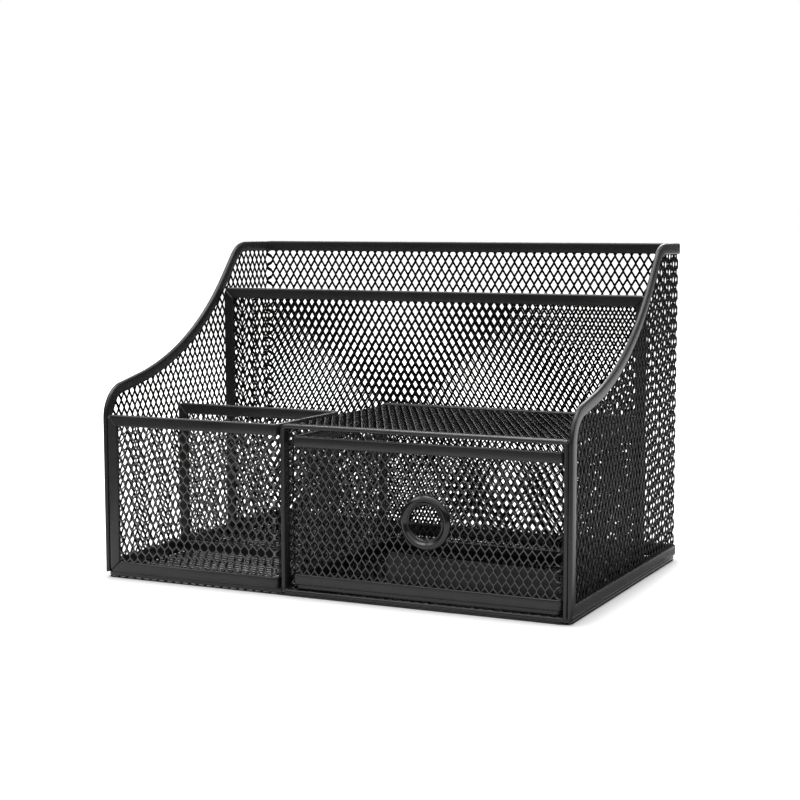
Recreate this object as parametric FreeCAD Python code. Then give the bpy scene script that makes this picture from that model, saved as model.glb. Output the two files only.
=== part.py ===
import FreeCAD, Part
import math
import os
from FreeCAD import Vector

# Pen stand with a drawer, made of expanded steel mesh whose cut edges are
# hemmed with folded steel strip.  All sizes are in millimetres.
#
# Working axes: x runs from the left side to the right, y from the front to
# the back and z up from the table.  The last function moves the origin to
# the middle of the footprint.

# ---- driving dimensions -------------------------------------------------
WIDTH = 210.0            # over the outside of the side walls
DEPTH = 135.0            # front hems to the back of the rear wall
HEIGHT = 141.0           # table to the top of the rear wall

MESH = 0.8               # flattened expanded mesh
HEM = 1.8                # folded strip, over both leaves
HEM_WIDTH = 4.8          # how far a hem covers the mesh
HEM_CORNER = 2.5         # rounding of a hem's outer corner

STRAND = 2.2             # width of a mesh strand
REAL_PITCH = (3.9, 6.8)  # short and long way of the real diamonds
PITCH_STEP = 6           # the solids carry about every sixth row of diamonds
SMALLEST_HOLE = 20.0     # mm2; smaller cut-off corners of diamonds stay shut
SMALLEST_RADIUS = 0.75   # tighter corners are drawn sharp

TRAY_HEIGHT = 2.2        # the floor's edge is bent up this high, under the walls
TRAY_CORNER = 6.0        # rounding of the floor in plan
TRAY_BEND = 0.8          # slope of the bend where the edge turns up

SHOULDER_Z = 67.3        # where the side's front edge starts to turn back
SHOULDER_RADIUS = 15.0
SHELF_ANGLE = 12.0       # slope of the side's edge just behind the shoulder
SHELF_RUN = 14.0
SWEEP_RADIUS = 119.0     # the hollow curve between shoulder and rear post
STEEP_ANGLE = 50.0
TOP_RADIUS = 16.0

SLOT_Y = 91.7            # front face of the letter-slot partition
SLOT_TOP = 119.5
POT_RIGHT = 84.0         # right face of the pen pot's liner
POT_TOP = 69.2
POT_DIVIDER_Y = 52.0     # front face of the liner's rear wall
POT_CORNER = 1.3
BAY_LEFT = 85.6          # left face of the drawer's sleeve
BAY_TOP = 69.4           # upper face of its deck
BAY_CORNER = 2.5

DRAWER_LEFT = 90.6
DRAWER_RIGHT = 206.0
DRAWER_FRONT = 0.4
DRAWER_BACK = 89.4
DRAWER_FOOT = 4.8
DRAWER_TOP = 64.9
DRAWER_HEM = 4.4         # height of the drawer's hems
DRAWER_CORNER = 2.0
DRAWER_TRAY_FOOT = 2.9   # underside of the drawer's own floor

PULL_OFFSET = 1.2        # the ring sits this far right of the drawer's middle
PULL_Z = 34.2            # centre of the finger ring
PULL_FLANGE_R = 10.7
PULL_CREST_R = 8.6       # highest circle of the flange
PULL_BORE_R = 6.9
PULL_SHEET = 0.5
PULL_PLAY = 0.1          # between the barrel and the hole in the mesh
PULL_PROUD = 1.6         # how far the crest stands in front of the mesh
WASHER_R = 9.8
WASHER = 0.5

# ---- values that follow from them ---------------------------------------
LEAF = (HEM - MESH) / 2                 # one leaf of a folded strip
INNER_LEFT = HEM                        # faces of the side hems
INNER_RIGHT = WIDTH - HEM
BASE_HEM_TOP = TRAY_HEIGHT + HEM_WIDTH  # top of the lowest hems
BAY_FOOT = MESH                         # the sleeve lies on the floor's mesh
PULL_X = (DRAWER_LEFT + DRAWER_RIGHT) / 2 + PULL_OFFSET
DRAWER_MESH_Y = DRAWER_FRONT + LEAF     # front face of the drawer's front mesh
PULL_CREST_Y = DRAWER_MESH_Y - PULL_PROUD

# A flat piece is drawn in (u, v) and then stood in one of three planes.
# Each plane gives the directions of u, v and the drawing's own normal, and
# the sign that makes thickness grow along +x, +y or +z.
PLANES = {
    "side": (Vector(0, 1, 0), Vector(0, 0, 1), Vector(1, 0, 0), 1),
    "cross": (Vector(1, 0, 0), Vector(0, 0, 1), Vector(0, -1, 0), -1),
    "level": (Vector(1, 0, 0), Vector(0, 1, 0), Vector(0, 0, 1), 1),
}


# ---- drawing in the plane -------------------------------------------------
def polygon(points):
    """A flat face with straight edges."""
    corners = [Vector(u, v, 0) for u, v in points]
    return Part.Face(Part.makePolygon(corners + corners[:1]))


def rectangle(u0, u1, v0, v1, radius=0.0):
    """A rectangle, with all four corners rounded when a radius is given."""
    if radius < SMALLEST_RADIUS:
        return polygon([(u0, v0), (u1, v0), (u1, v1), (u0, v1)])
    centres = [(u1 - radius, v1 - radius, 0), (u0 + radius, v1 - radius, 90),
               (u0 + radius, v0 + radius, 180), (u1 - radius, v0 + radius, 270)]
    arcs = [arc_between(Vector(u, v, 0), radius, turn, turn + 90) for u, v, turn in centres]
    outline = []
    for arc, following in zip(arcs, arcs[1:] + arcs[:1]):
        outline += [arc, Part.makeLine(end_points(arc)[1], end_points(following)[0])]
    return Part.Face(Part.Wire(outline))


def ring(u0, u1, v0, v1, radius, inset, thickness):
    """The band between a rounded rectangle drawn `inset` in and one further in."""
    faces = []
    for depth in (inset, inset + thickness):
        faces.append(rectangle(u0 + depth, u1 - depth, v0 + depth, v1 - depth, radius - depth))
    return faces[0].cut(faces[1])


def stand(face, plane, at, thickness):
    """Give a drawn face its thickness and put its near side at `at`."""
    u_way, v_way, normal, sign = PLANES[plane]
    solid = face.extrude(Vector(0, 0, sign * thickness))
    base = normal * (sign * at)
    turn = FreeCAD.Rotation(u_way, v_way, normal, "XYZ")
    solid.Placement = FreeCAD.Placement(base, turn)
    return solid


def arc_between(centre, radius, start_angle, end_angle):
    """An arc whose angles are in degrees, in the order it is travelled."""
    points = [centre + heading(angle) * radius
              for angle in (start_angle, (start_angle + end_angle) / 2, end_angle)]
    return Part.Arc(*points).toShape()


def end_points(edge):
    return edge.valueAt(edge.FirstParameter), edge.valueAt(edge.LastParameter)


def heading(angle):
    turn = math.radians(angle)
    return Vector(math.cos(turn), math.sin(turn), 0)


def side_edge(inset):
    """The side's free edge from the front foot to the rear top corner.

    The edge is a chain of straights and tangent arcs: up the front, over
    the round shoulder, along the hollow sweep and over to the flat top.
    A positive inset draws the same edge further inside the sheet.
    """
    shelf, steep = math.radians(SHELF_ANGLE), math.radians(STEEP_ANGLE)
    steep_rise = (HEIGHT - SHOULDER_Z - SHOULDER_RADIUS * math.cos(shelf)
                  - SHELF_RUN * math.sin(shelf)
                  - SWEEP_RADIUS * (math.cos(shelf) - math.cos(steep))
                  - TOP_RADIUS * (1 - math.cos(steep)))
    steep_run = steep_rise / math.sin(steep)

    shoulder = Vector(SHOULDER_RADIUS, SHOULDER_Z, 0)
    shelf_start = shoulder + heading(SHELF_ANGLE + 90) * SHOULDER_RADIUS
    shelf_end = shelf_start + heading(SHELF_ANGLE) * SHELF_RUN
    sweep = shelf_end + heading(SHELF_ANGLE + 90) * SWEEP_RADIUS
    steep_start = sweep + heading(STEEP_ANGLE - 90) * SWEEP_RADIUS
    steep_end = steep_start + heading(STEEP_ANGLE) * steep_run
    top = steep_end + heading(STEEP_ANGLE - 90) * TOP_RADIUS

    arcs = [
        arc_between(shoulder, SHOULDER_RADIUS - inset, 180, SHELF_ANGLE + 90),
        arc_between(sweep, SWEEP_RADIUS + inset, SHELF_ANGLE - 90, STEEP_ANGLE - 90),
        arc_between(top, TOP_RADIUS - inset, STEEP_ANGLE + 90, 90),
    ]
    ends = [end_points(arc) for arc in arcs]
    foot = Vector(inset, TRAY_HEIGHT, 0)
    corner = Vector(DEPTH, HEIGHT - inset, 0)
    return [
        Part.makeLine(foot, ends[0][0]), arcs[0],
        Part.makeLine(ends[0][1], ends[1][0]), arcs[1],
        Part.makeLine(ends[1][1], ends[2][0]), arcs[2],
        Part.makeLine(ends[2][1], corner),
    ]


def side_outline(inset):
    """The whole side of the stand, its free edge drawn `inset` further in."""
    edge = side_edge(inset)
    foot = Vector(inset, TRAY_HEIGHT, 0)
    corner = Vector(DEPTH, HEIGHT - inset, 0)
    heel = Vector(DEPTH, TRAY_HEIGHT, 0)
    return Part.Face(Part.Wire(edge + [Part.makeLine(corner, heel), Part.makeLine(heel, foot)]))


# ---- the mesh -------------------------------------------------------------
def diamonds(window):
    """The holes of the mesh inside a window that takes whole rows and columns."""
    box = window.BoundBox
    columns = round(box.XLength / REAL_PITCH[0] / PITCH_STEP)
    rows = round(box.YLength / REAL_PITCH[1] / PITCH_STEP)
    half_u, half_v = box.XLength / columns / 2, box.YLength / rows / 2
    to_strand = half_u * half_v / math.hypot(half_u, half_v)
    open_share = 1 - STRAND / 2 / to_strand
    a, b = half_u * open_share, half_v * open_share
    holes = []
    for i in range(2 * columns + 1):
        for j in range(2 * rows + 1):
            if (i + j) % 2 == 0:
                continue
            u, v = box.XMin + i * half_u, box.YMin + j * half_v
            hole = polygon([(u - a, v), (u, v - b), (u + a, v), (u, v + b)])
            holes += [face for face in hole.common(window).Faces if face.Area > SMALLEST_HOLE]
    return holes


def mesh_sheet(outline, window, plane, at):
    """A flat sheet of mesh; only its window, clear of the hems, is open."""
    openwork = outline.cut(Part.makeCompound(diamonds(window)))
    return stand(openwork, plane, at, MESH)


def bent_sheet(flat, walls, corners):
    """A flat sheet together with the bends it carries at the walls' corners."""
    return flat.fuse(walls.common(corners)).removeSplitter()


def hem(band, sheet_outline, plane, at):
    """A strip folded over a sheet's edge: the band less the sheet in its fold."""
    return stand(band, plane, at, HEM).cut(stand(sheet_outline, plane, at + LEAF, MESH))


# ---- outer walls and floor --------------------------------------------------
def outer_walls():
    """The wrap round left, back and right, with its edge and base hems."""
    parts = {}
    low, high = TRAY_HEIGHT + LEAF, HEIGHT - LEAF
    back_y = DEPTH - HEM
    back_sheet = rectangle(LEAF + MESH, WIDTH - LEAF - MESH, low, high)
    back_window = rectangle(HEM, WIDTH - HEM, BASE_HEM_TOP, HEIGHT - HEM_WIDTH)
    top_band = rectangle(INNER_LEFT, INNER_RIGHT, HEIGHT - HEM_WIDTH, HEIGHT)
    foot_band = rectangle(INNER_LEFT, INNER_RIGHT, TRAY_HEIGHT, BASE_HEM_TOP)
    parts["back_mesh"] = mesh_sheet(back_sheet, back_window, "cross", back_y + LEAF)
    parts["back_top_hem"] = hem(top_band, back_sheet, "cross", back_y)
    parts["back_base_hem"] = hem(foot_band, back_sheet, "cross", back_y)
    back_mesh = stand(back_sheet, "cross", back_y + LEAF, MESH)

    below = rectangle(-1, DEPTH + 1, 0, low)
    behind = rectangle(DEPTH - LEAF, DEPTH + 1, 0, HEIGHT + 1)
    sheet = side_outline(LEAF).cut(below).cut(behind)
    within_hem = side_outline(HEM_WIDTH)
    window = within_hem.common(rectangle(0, DEPTH - HEM, BASE_HEM_TOP, HEIGHT))
    base_band = polygon([(0, TRAY_HEIGHT), (HEM_WIDTH, BASE_HEM_TOP),
                         (DEPTH, BASE_HEM_TOP), (DEPTH, TRAY_HEIGHT)])
    edge_band = side_outline(0).cut(within_hem).cut(base_band)
    for name, at in (("left", 0.0), ("right", WIDTH - HEM)):
        parts[name + "_side_mesh"] = mesh_sheet(sheet, window, "side", at + LEAF)
        parts[name + "_side_hem"] = hem(edge_band, sheet, "side", at).cut(back_mesh)
        parts[name + "_base_hem"] = hem(base_band, sheet, "side", at).cut(back_mesh)
    return parts


def floor():
    """The floor is a shallow mesh tray; its edge turns up to meet the walls.

    At the drawer's bay the edge stays flat, so that the drawer can pass.
    """
    outer = rectangle(LEAF, WIDTH - LEAF, LEAF, DEPTH - LEAF, TRAY_CORNER)
    edge = LEAF + MESH
    inner = rectangle(edge, WIDTH - edge, edge, DEPTH - edge, TRAY_CORNER - MESH)
    block = stand(outer, "level", 0, TRAY_HEIGHT)
    lower_edges = [e for e in block.Edges if e.BoundBox.ZMax < MESH / 2]
    block = block.makeChamfer(TRAY_BEND, lower_edges)
    mouth = rectangle(BAY_LEFT, INNER_RIGHT, -1, DEPTH / 2)
    window = rectangle(HEM_WIDTH, WIDTH - HEM_WIDTH, HEM_WIDTH, DEPTH - HEM_WIDTH)
    holes = Part.makeCompound(diamonds(window))
    tray = block.cut(stand(inner.fuse(mouth), "level", MESH, TRAY_HEIGHT))
    return {"floor_tray": tray.cut(stand(holes, "level", 0, MESH))}


# ---- inner walls ------------------------------------------------------------
def slot_partition():
    """The wall between the letter slot and the front, hemmed all round."""
    foot = MESH
    outline = rectangle(INNER_LEFT, INNER_RIGHT, foot, SLOT_TOP, HEM_CORNER)
    window = rectangle(INNER_LEFT + HEM_WIDTH, INNER_RIGHT - HEM_WIDTH,
                       foot + HEM_WIDTH, SLOT_TOP - HEM_WIDTH)
    sheet = rectangle(INNER_LEFT + LEAF, INNER_RIGHT - LEAF, foot + LEAF, SLOT_TOP - LEAF)
    sheet = sheet.common(outline)
    return {
        "partition_mesh": mesh_sheet(sheet, window, "cross", SLOT_Y + LEAF),
        "partition_hem": hem(outline.cut(window), sheet, "cross", SLOT_Y),
    }


def liner_plan(inset, thickness):
    """Plan of the pot liner: front wall, right wall and rear wall in one turn."""
    around = ring(-POT_RIGHT, POT_RIGHT, 0, POT_DIVIDER_Y + HEM, POT_CORNER, inset, thickness)
    return around.common(rectangle(INNER_LEFT + inset, WIDTH, -1, DEPTH))


def pot_liner():
    """The pen pot: three mesh walls hemmed round every cut edge."""
    parts = {}
    low, high = TRAY_HEIGHT + LEAF, POT_TOP - LEAF
    window_low, window_high = BASE_HEM_TOP, POT_TOP - HEM_WIDTH
    left = INNER_LEFT
    mesh_right = POT_RIGHT - LEAF
    cross_sheet = rectangle(left + LEAF, mesh_right - MESH, low, high)
    cross_window = rectangle(left + HEM_WIDTH, mesh_right - MESH, window_low, window_high)
    for name, at in (("pot_front_mesh", 0.0), ("pot_divider_mesh", POT_DIVIDER_Y)):
        parts[name] = mesh_sheet(cross_sheet, cross_window, "cross", at + LEAF)

    walls = stand(liner_plan(LEAF, MESH), "level", low, high - low)
    front, back = LEAF + MESH, POT_DIVIDER_Y + HEM - LEAF - MESH
    flat = mesh_sheet(rectangle(front, back, low, high),
                      rectangle(front, back, window_low, window_high), "side", mesh_right - MESH)
    beside = rectangle(mesh_right - MESH, POT_RIGHT, -1, DEPTH).cut(
        rectangle(0, WIDTH, front, back))
    parts["pot_side_mesh"] = bent_sheet(flat, walls, stand(beside, "level", 0, HEIGHT))

    for name, z in (("pot_top_hem", POT_TOP - HEM_WIDTH), ("pot_base_hem", TRAY_HEIGHT)):
        parts[name] = stand(liner_plan(0, HEM), "level", z, HEM_WIDTH).cut(walls)

    # The two end hems stand between the long ones with mitred corners.
    upright = polygon([(left, TRAY_HEIGHT), (left + HEM_WIDTH, BASE_HEM_TOP),
                       (left + HEM_WIDTH, POT_TOP - HEM_WIDTH), (left, POT_TOP)])
    rounded = rectangle(left, WIDTH, TRAY_HEIGHT, POT_TOP, HEM_CORNER)
    corners = rectangle(left, left + HEM_CORNER, TRAY_HEIGHT, POT_TOP).cut(rounded)
    for name, at in (("pot_front_end_hem", 0.0), ("pot_divider_end_hem", POT_DIVIDER_Y)):
        post = stand(upright, "cross", at, HEM)
        beyond = stand(corners, "cross", at, HEM)
        for piece in ("pot_top_hem", "pot_base_hem"):
            parts[piece] = parts[piece].cut(post).cut(beyond)
        parts[name] = post.cut(walls).cut(beyond)
        for piece in ("pot_front_mesh", "pot_divider_mesh"):
            parts[piece] = parts[piece].cut(beyond)
    return parts


def sleeve_section(inset, thickness):
    """Cross-section of the drawer's sleeve."""
    return ring(BAY_LEFT, INNER_RIGHT, BAY_FOOT, BAY_TOP, BAY_CORNER, inset, thickness)


def drawer_sleeve():
    """The closed mesh sleeve that the drawer runs in; its top is the deck."""
    parts = {}
    front, back = LEAF, SLOT_Y - LEAF
    left, right = BAY_LEFT + BAY_CORNER, INNER_RIGHT - BAY_CORNER
    low, high = BAY_FOOT + BAY_CORNER, BAY_TOP - BAY_CORNER
    walls = stand(sleeve_section(LEAF, MESH), "cross", front, back - front)

    side_sheet = rectangle(front, back, low, high)
    side_window = rectangle(HEM_WIDTH, SLOT_Y - HEM_WIDTH, low, high)
    for name, at in (("sleeve_left_mesh", BAY_LEFT + LEAF),
                     ("sleeve_right_mesh", INNER_RIGHT - LEAF - MESH)):
        parts[name] = mesh_sheet(side_sheet, side_window, "side", at)

    level_sheet = rectangle(left, right, front, back)
    level_window = rectangle(left, right, HEM_WIDTH, SLOT_Y - HEM_WIDTH)
    for name, at, z0, z1 in (("sleeve_deck_mesh", BAY_TOP - LEAF - MESH, high, BAY_TOP),
                             ("sleeve_floor_mesh", BAY_FOOT + LEAF, BAY_FOOT, low)):
        flat = mesh_sheet(level_sheet, level_window, "level", at)
        corners = rectangle(BAY_LEFT, INNER_RIGHT, z0, z1).cut(rectangle(left, right, z0, z1))
        parts[name] = bent_sheet(flat, walls, stand(corners, "cross", front, back - front))

    for name, at in (("sleeve_front_hem", 0.0), ("sleeve_rear_hem", SLOT_Y - HEM_WIDTH)):
        parts[name] = stand(sleeve_section(0, HEM), "cross", at, HEM_WIDTH).cut(walls)
    return parts


# ---- drawer -----------------------------------------------------------------
def drawer_plan(inset, thickness):
    """Plan of the drawer's walls."""
    return ring(DRAWER_LEFT, DRAWER_RIGHT, DRAWER_FRONT, DRAWER_BACK, DRAWER_CORNER,
                inset, thickness)


def drawer_walls():
    parts = {}
    low, high = DRAWER_FOOT + LEAF, DRAWER_TOP - LEAF
    window_low, window_high = DRAWER_FOOT + DRAWER_HEM, DRAWER_TOP - DRAWER_HEM
    left, right = DRAWER_LEFT + DRAWER_CORNER, DRAWER_RIGHT - DRAWER_CORNER
    front, back = DRAWER_FRONT + DRAWER_CORNER, DRAWER_BACK - DRAWER_CORNER
    walls = stand(drawer_plan(LEAF, MESH), "level", low, high - low)

    sheet = rectangle(left, right, low, high)
    window = rectangle(left, right, window_low, window_high)
    hole, backing = (
        Part.Face(Part.Wire(Part.makeCircle(radius, Vector(PULL_X, PULL_Z, 0))))
        for radius in (PULL_BORE_R + PULL_SHEET + PULL_PLAY, PULL_FLANGE_R))
    for name, outline, opened, at, y0, y1 in (
            ("drawer_front_mesh", sheet.cut(hole), window.cut(backing),
             DRAWER_MESH_Y, DRAWER_FRONT, front),
            ("drawer_back_mesh", sheet, window,
             DRAWER_BACK - LEAF - MESH, back, DRAWER_BACK)):
        flat = mesh_sheet(outline, opened, "cross", at)
        corners = rectangle(DRAWER_LEFT, DRAWER_RIGHT, y0, y1).cut(rectangle(left, right, y0, y1))
        parts[name] = bent_sheet(flat, walls, stand(corners, "level", low, high - low))

    side_sheet = rectangle(front, back, low, high)
    side_window = rectangle(front, back, window_low, window_high)
    for name, at in (("drawer_left_mesh", DRAWER_LEFT + LEAF),
                     ("drawer_right_mesh", DRAWER_RIGHT - LEAF - MESH)):
        parts[name] = mesh_sheet(side_sheet, side_window, "side", at)
    for name, z in (("drawer_top_hem", DRAWER_TOP - DRAWER_HEM), ("drawer_base_hem", DRAWER_FOOT)):
        parts[name] = stand(drawer_plan(0, HEM), "level", z, DRAWER_HEM).cut(walls)
    return parts


def drawer_tray():
    """The drawer's floor, a tray like the stand's own, under its walls."""
    def plan(inset):
        return rectangle(DRAWER_LEFT + inset, DRAWER_RIGHT - inset,
                         DRAWER_FRONT + inset, DRAWER_BACK - inset, TRAY_CORNER - inset)
    height = DRAWER_FOOT - DRAWER_TRAY_FOOT
    block = stand(plan(LEAF), "level", DRAWER_TRAY_FOOT, height)
    inside = stand(plan(LEAF + MESH), "level", DRAWER_TRAY_FOOT + MESH, height)
    holes = Part.makeCompound(diamonds(plan(HEM_WIDTH)))
    tray = block.cut(inside).cut(stand(holes, "level", DRAWER_TRAY_FOOT, MESH))
    return {"drawer_floor_tray": tray}


def turned(points):
    """Turn a closed (radius, y) profile about the ring's axis."""
    corners = [Vector(radius, y, 0) for radius, y in points]
    face = Part.Face(Part.makePolygon(corners + corners[:1]))
    solid = face.revolve(Vector(0, 0, 0), Vector(0, 1, 0), 360)
    solid.translate(Vector(PULL_X, 0, PULL_Z))
    return solid


def finger_ring():
    """A two-part eyelet: a dished flange and barrel, closed on a washer."""
    face_y = DRAWER_MESH_Y
    rear_y = face_y + MESH
    lip_y = rear_y + WASHER + PULL_SHEET
    crest_y = PULL_CREST_Y
    barrel_r = PULL_BORE_R + PULL_SHEET
    lip_r = barrel_r + 2 * PULL_SHEET
    eyelet = [
        (PULL_FLANGE_R, face_y), (PULL_FLANGE_R, face_y - PULL_SHEET),
        (PULL_CREST_R, crest_y), (PULL_BORE_R, face_y), (PULL_BORE_R, lip_y),
        (lip_r, lip_y), (lip_r, lip_y - PULL_SHEET),
        (barrel_r, lip_y - PULL_SHEET), (barrel_r, face_y),
    ]
    washer = [
        (barrel_r, rear_y), (WASHER_R, rear_y), (WASHER_R, rear_y + WASHER),
        (barrel_r, rear_y + WASHER),
    ]
    return {"pull_eyelet": turned(eyelet), "pull_washer": turned(washer)}


# ---- all of it ----------------------------------------------------------------
def build():
    parts = {}
    for group in (outer_walls, floor, slot_partition, pot_liner, drawer_sleeve,
                  drawer_walls, drawer_tray, finger_ring):
        parts.update(group())
    return parts


def export(parts):
    """Put the origin under the middle of the footprint and write each piece."""
    os.makedirs("parts", exist_ok=True)
    middle_y = (DEPTH + PULL_CREST_Y) / 2
    for name, shape in parts.items():
        piece = shape.copy()
        piece.translate(Vector(-WIDTH / 2, -middle_y, 0))
        if len(piece.Solids) != 1 or not piece.isValid():
            raise ValueError(name + " is not one sound solid")
        piece.Solids[0].exportStep(os.path.join("parts", name + ".step"))


export(build())
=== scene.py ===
import math

import bmesh
import bpy
from mathutils import Matrix, Vector


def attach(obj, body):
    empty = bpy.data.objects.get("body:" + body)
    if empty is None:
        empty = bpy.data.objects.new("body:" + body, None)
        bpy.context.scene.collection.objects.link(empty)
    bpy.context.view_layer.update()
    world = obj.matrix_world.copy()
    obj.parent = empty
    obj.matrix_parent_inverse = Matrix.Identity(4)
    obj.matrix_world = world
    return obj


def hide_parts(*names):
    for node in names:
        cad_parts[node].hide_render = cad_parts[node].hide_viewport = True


# Pen stand with a drawer in black powder-coated expanded steel mesh.
#
# Every sheet is made as in the workshop.  A flat blank of mesh is cut, its
# edges are hemmed with folded strip, and the blank is bent to its corners.
# Sizes are in millimetres, x from the left side, y from the front and z up
# from the table, until finish_piece() brings a piece to metres and to the
# frame.  A flat blank runs along u and v, with z out of its inner face.
# The studio, its lamps and the camera are in metres, in the frame itself.

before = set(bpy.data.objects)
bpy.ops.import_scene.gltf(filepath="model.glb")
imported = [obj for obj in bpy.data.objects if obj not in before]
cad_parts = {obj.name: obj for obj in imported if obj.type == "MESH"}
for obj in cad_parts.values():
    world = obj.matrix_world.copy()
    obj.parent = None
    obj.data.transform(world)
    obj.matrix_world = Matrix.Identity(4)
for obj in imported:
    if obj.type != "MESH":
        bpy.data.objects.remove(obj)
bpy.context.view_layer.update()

MM = 0.001
MIDDLE = Vector((105.0, 67.15, 0.0))      # middle of the footprint
WELD = 0.002                              # points nearer than this are one
HAIR = 0.05                               # what a mitre stops short of its corner
SHARP = 38                                # degrees past which an edge stays sharp
SQUARE = 1.2                              # radians past which an edge is rounded

# ---- the stand: sizes are those of the solids but for the trays' corners -----
WIDTH, DEPTH, HEIGHT = 210.0, 135.0, 141.0
MESH = 0.8                                # thickness of the sheet
HEM = 1.8                                 # thickness of a folded strip
HEM_WIDTH = 4.8
LEAF = (HEM - MESH) / 2                   # one leaf of a strip, beside its sheet
HEM_CORNER = 2.5
NOSE = HEM * 0.46                         # rounding of a strip's outer edge
LIP = 0.55                                # rounding of a strip's inner edges
BEND, BEND_STEPS = 0.5, 4                 # inner radius where a sheet turns
PINCH, PINCH_HALF = 0.62, 0.3             # a strip's crease: thickness, half width

TRAY_HEIGHT = 2.2
TRAY_CORNER = 3.0                         # 6 in the solids
TRAY_BEND = 1.4                           # outer radius of the tray's edge
TRAY_EDGE = 1.6                           # mesh that runs straight up the edge
TRAY_LIFT = 0.04                          # room for the strands' tilt underneath
RIM_GAP = (0.40, 0.75)                    # heights where the floor's mesh shows

# the S-curve of a side: shoulder, shelf, sweep up and top, each with its radius
SHOULDER_Z, SHOULDER_RADIUS = 67.3, 15.0
SHELF_ANGLE, SHELF_RUN = 12.0, 14.0
SWEEP_RADIUS, STEEP_ANGLE, TOP_RADIUS = 119.0, 50.0, 16.0
CURVE_STEPS = 12

SLOT_Y, SLOT_TOP = 91.7, 119.5
POT_RIGHT, POT_TOP, POT_DIVIDER_Y = 84.0, 69.2, 52.0
POT_STRIP_END = 0.5                       # what its strip leaves of the blank's ends
BAY_LEFT, BAY_RIGHT, BAY_FOOT, BAY_TOP = 85.6, 208.2, 0.8, 69.4
MOUTH = (BAY_LEFT, BAY_RIGHT - 4)         # where the floor's edge is left open
SLEEVE_BEND = 0.7

DRAWER_LEFT, DRAWER_RIGHT = 90.6, 206.0
DRAWER_FRONT, DRAWER_BACK = 0.4, 89.4
DRAWER_FOOT, DRAWER_TOP = 4.8, 64.9
DRAWER_HEM, DRAWER_BEND = 4.4, 0.4
DRAWER_TRAY_FOOT = 2.9

PLATE_LEFT, PLATE_TOP, PLATE_GAUGE = 132.0, 20.6, 0.8
PLATE_GAP = 1.3                           # from the drawer's front mesh

PULL_X, PULL_Z = 149.5, 34.2
PULL_FLANGE_R, PULL_CREST_R, PULL_BORE_R = 10.7, 8.6, 6.9
PULL_PROUD = 1.6
WASHER_R, WASHER_GAUGE = 9.8, 0.5
RING_STEPS = 96

# ---- the mesh ----------------------------------------------------------------
# pitch: short and long way of the diamonds; bond: length of the knot between
# two diamonds; strand: its width; twist: its tilt, mm per mm; gauge: its
# thickness at the edges; ridge: how much its middle stands up on each face
DIAMOND_WELD = 0.05                       # corners nearer than this are one
WALL_MESH = {"pitch": (3.88, 6.8), "bond": 0.4, "strand": 0.93, "twist": 0.04,
             "gauge": 0.36, "ridge": 0.08}
PARTITION_MESH = {"pitch": (3.58, 6.6), "bond": 0.5, "strand": 0.70, "twist": 0.04,
                  "gauge": 0.36, "ridge": 0.08}
POT_MESH = {"pitch": (3.88, 6.8), "bond": 1.4, "strand": 0.70, "twist": 0.08,
            "gauge": 0.20, "ridge": 0.24}
DRAWER_MESH = {"pitch": (3.52, 6.3), "bond": 1.0, "strand": 0.56, "twist": 0.08,
               "gauge": 0.24, "ridge": 0.20}
SLEEVE_MESH = {"pitch": (3.42, 6.4), "bond": 0.8, "strand": 0.56, "twist": 0.04,
               "gauge": 0.42, "ridge": 0.04}

# ---- the camera, in metres and degrees -------------------------------------------
EYE = (0.3085, -0.61855, 0.1458)
EYE_TURN, EYE_DROP, EYE_ROLL = 23.59, 5.97, 0.174
EYE_LENS, EYE_SENSOR, EYE_SHIFT = 72.5, 36.0, -0.1

# ---- the studio, in metres ---------------------------------------------------------
WALL_RADIUS, WALL_HEIGHT = 2.2, 1.1
# greys of the walls and ground that only the paint's gloss sees: painted reflections
WALL_SHADE, RIGHT_WALL_SHADE, GROUND_SHADE = 0.05, 0.20, 0.22
# dark ground as left, right, front, rear: in front, at the left, behind, and a
# strip along the stand's right side; only the paint's gloss sees it, a painted reflection
DARK_GROUND = ((-2.2, 2.2, -2.2, -0.30), (-2.2, -0.20, -0.30, 2.2),
               (-0.20, 0.10, 0.20, 2.2), (0.1055, 0.133, -0.082, 0.10))
DARK_GROUND_Z, GROUND_Z = 0.0004, -0.0001
LAMP_AIM = (0, 0, 0.06)
# name, place, size and power in watts
LAMPS = (("overhead_box", (0.0, -0.10, 1.10), (1.0, 0.7), 8.5),
         ("back_box", (-0.40, 1.15, 0.80), (1.2, 0.6), 11.0),
         ("right_box", (1.2, 0.3, 0.9), (0.5, 0.4), 1.5),
         ("left_box", (-0.9, -0.4, 0.9), (0.5, 0.4), 1.5))


# ---- small tools -----------------------------------------------------------------
def heading(degrees):
    turn = math.radians(degrees)
    return Vector((math.cos(turn), math.sin(turn), 0))


def whole(bm):
    return bm.verts[:] + bm.edges[:] + bm.faces[:]


def new_verts(result):
    return [g for g in result["geom"] if isinstance(g, bmesh.types.BMVert)]


def cut(bm, point, outward, clear=True):
    """Cut across the work, and drop what lies beyond the cut."""
    bmesh.ops.bisect_plane(bm, geom=whole(bm), plane_co=point, plane_no=outward,
                           clear_outer=clear)


def drop_faces(bm, faces):
    bmesh.ops.delete(bm, geom=faces, context="FACES")


def cap(bm):
    """Close every open end with a flat face."""
    bmesh.ops.holes_fill(bm, edges=[e for e in bm.edges if e.is_boundary], sides=0)


def thicken(bm, thickness):
    """Give flat faces a thickness, upwards."""
    grown = bmesh.ops.extrude_face_region(bm, geom=bm.faces[:])
    bmesh.ops.translate(bm, vec=(0, 0, thickness), verts=new_verts(grown))
    bmesh.ops.recalc_face_normals(bm, faces=bm.faces)


def soften(bm, geom, offset, segments, affect="EDGES"):
    bmesh.ops.bevel(bm, geom=geom, offset=offset, offset_type="OFFSET",
                    segments=segments, profile=0.5, affect=affect, material=-1)


def soften_square_edges(bm, offset, segments):
    soften(bm, [e for e in bm.edges
                if len(e.link_faces) == 2 and e.calc_face_angle() > SQUARE],
           offset, segments)


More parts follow.
